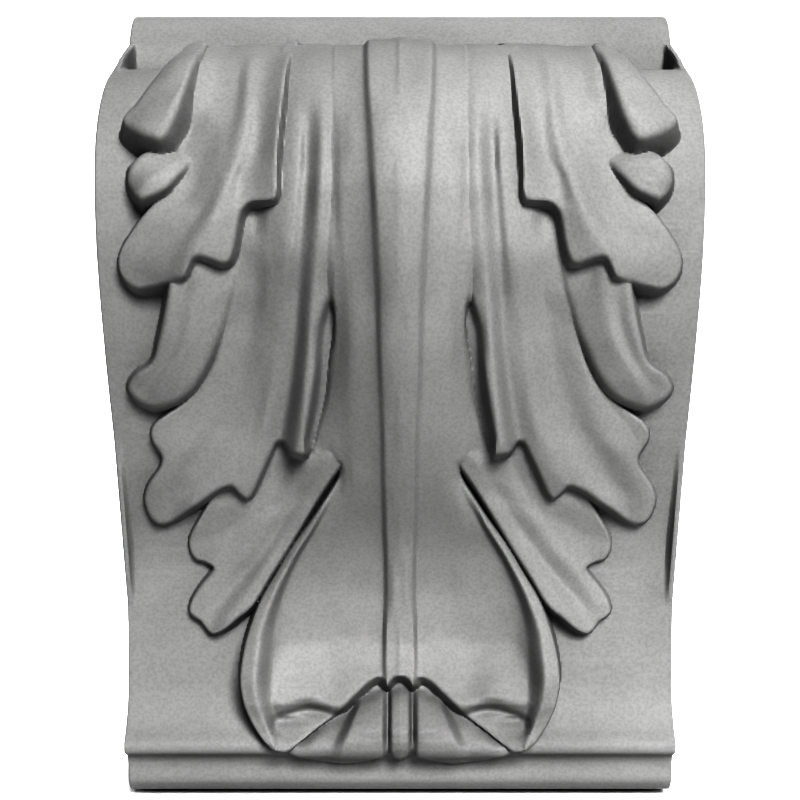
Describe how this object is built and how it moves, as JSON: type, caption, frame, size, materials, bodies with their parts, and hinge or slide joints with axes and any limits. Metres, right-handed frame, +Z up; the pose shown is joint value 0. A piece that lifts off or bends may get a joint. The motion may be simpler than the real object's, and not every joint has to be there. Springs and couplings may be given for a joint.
{
  "type": "carved corbel",
  "caption": "Stone wall corbel with a plain slab top, a rolled front and an acanthus leaf carved down its face.",
  "frame": {"origin": "centre of the flat back face that stands against the wall", "axes": "+Z up along the block's height, -Y out of the wall towards the viewer, +X to the viewer's right"},
  "size_m": [0.207, 0.1522, 0.3],
  "materials": {
    "limestone": "matt, rubbed smooth"
  },
  "bodies": {
    "root": {"carved_corbel": "limestone"}
  },
  "joints": []
}
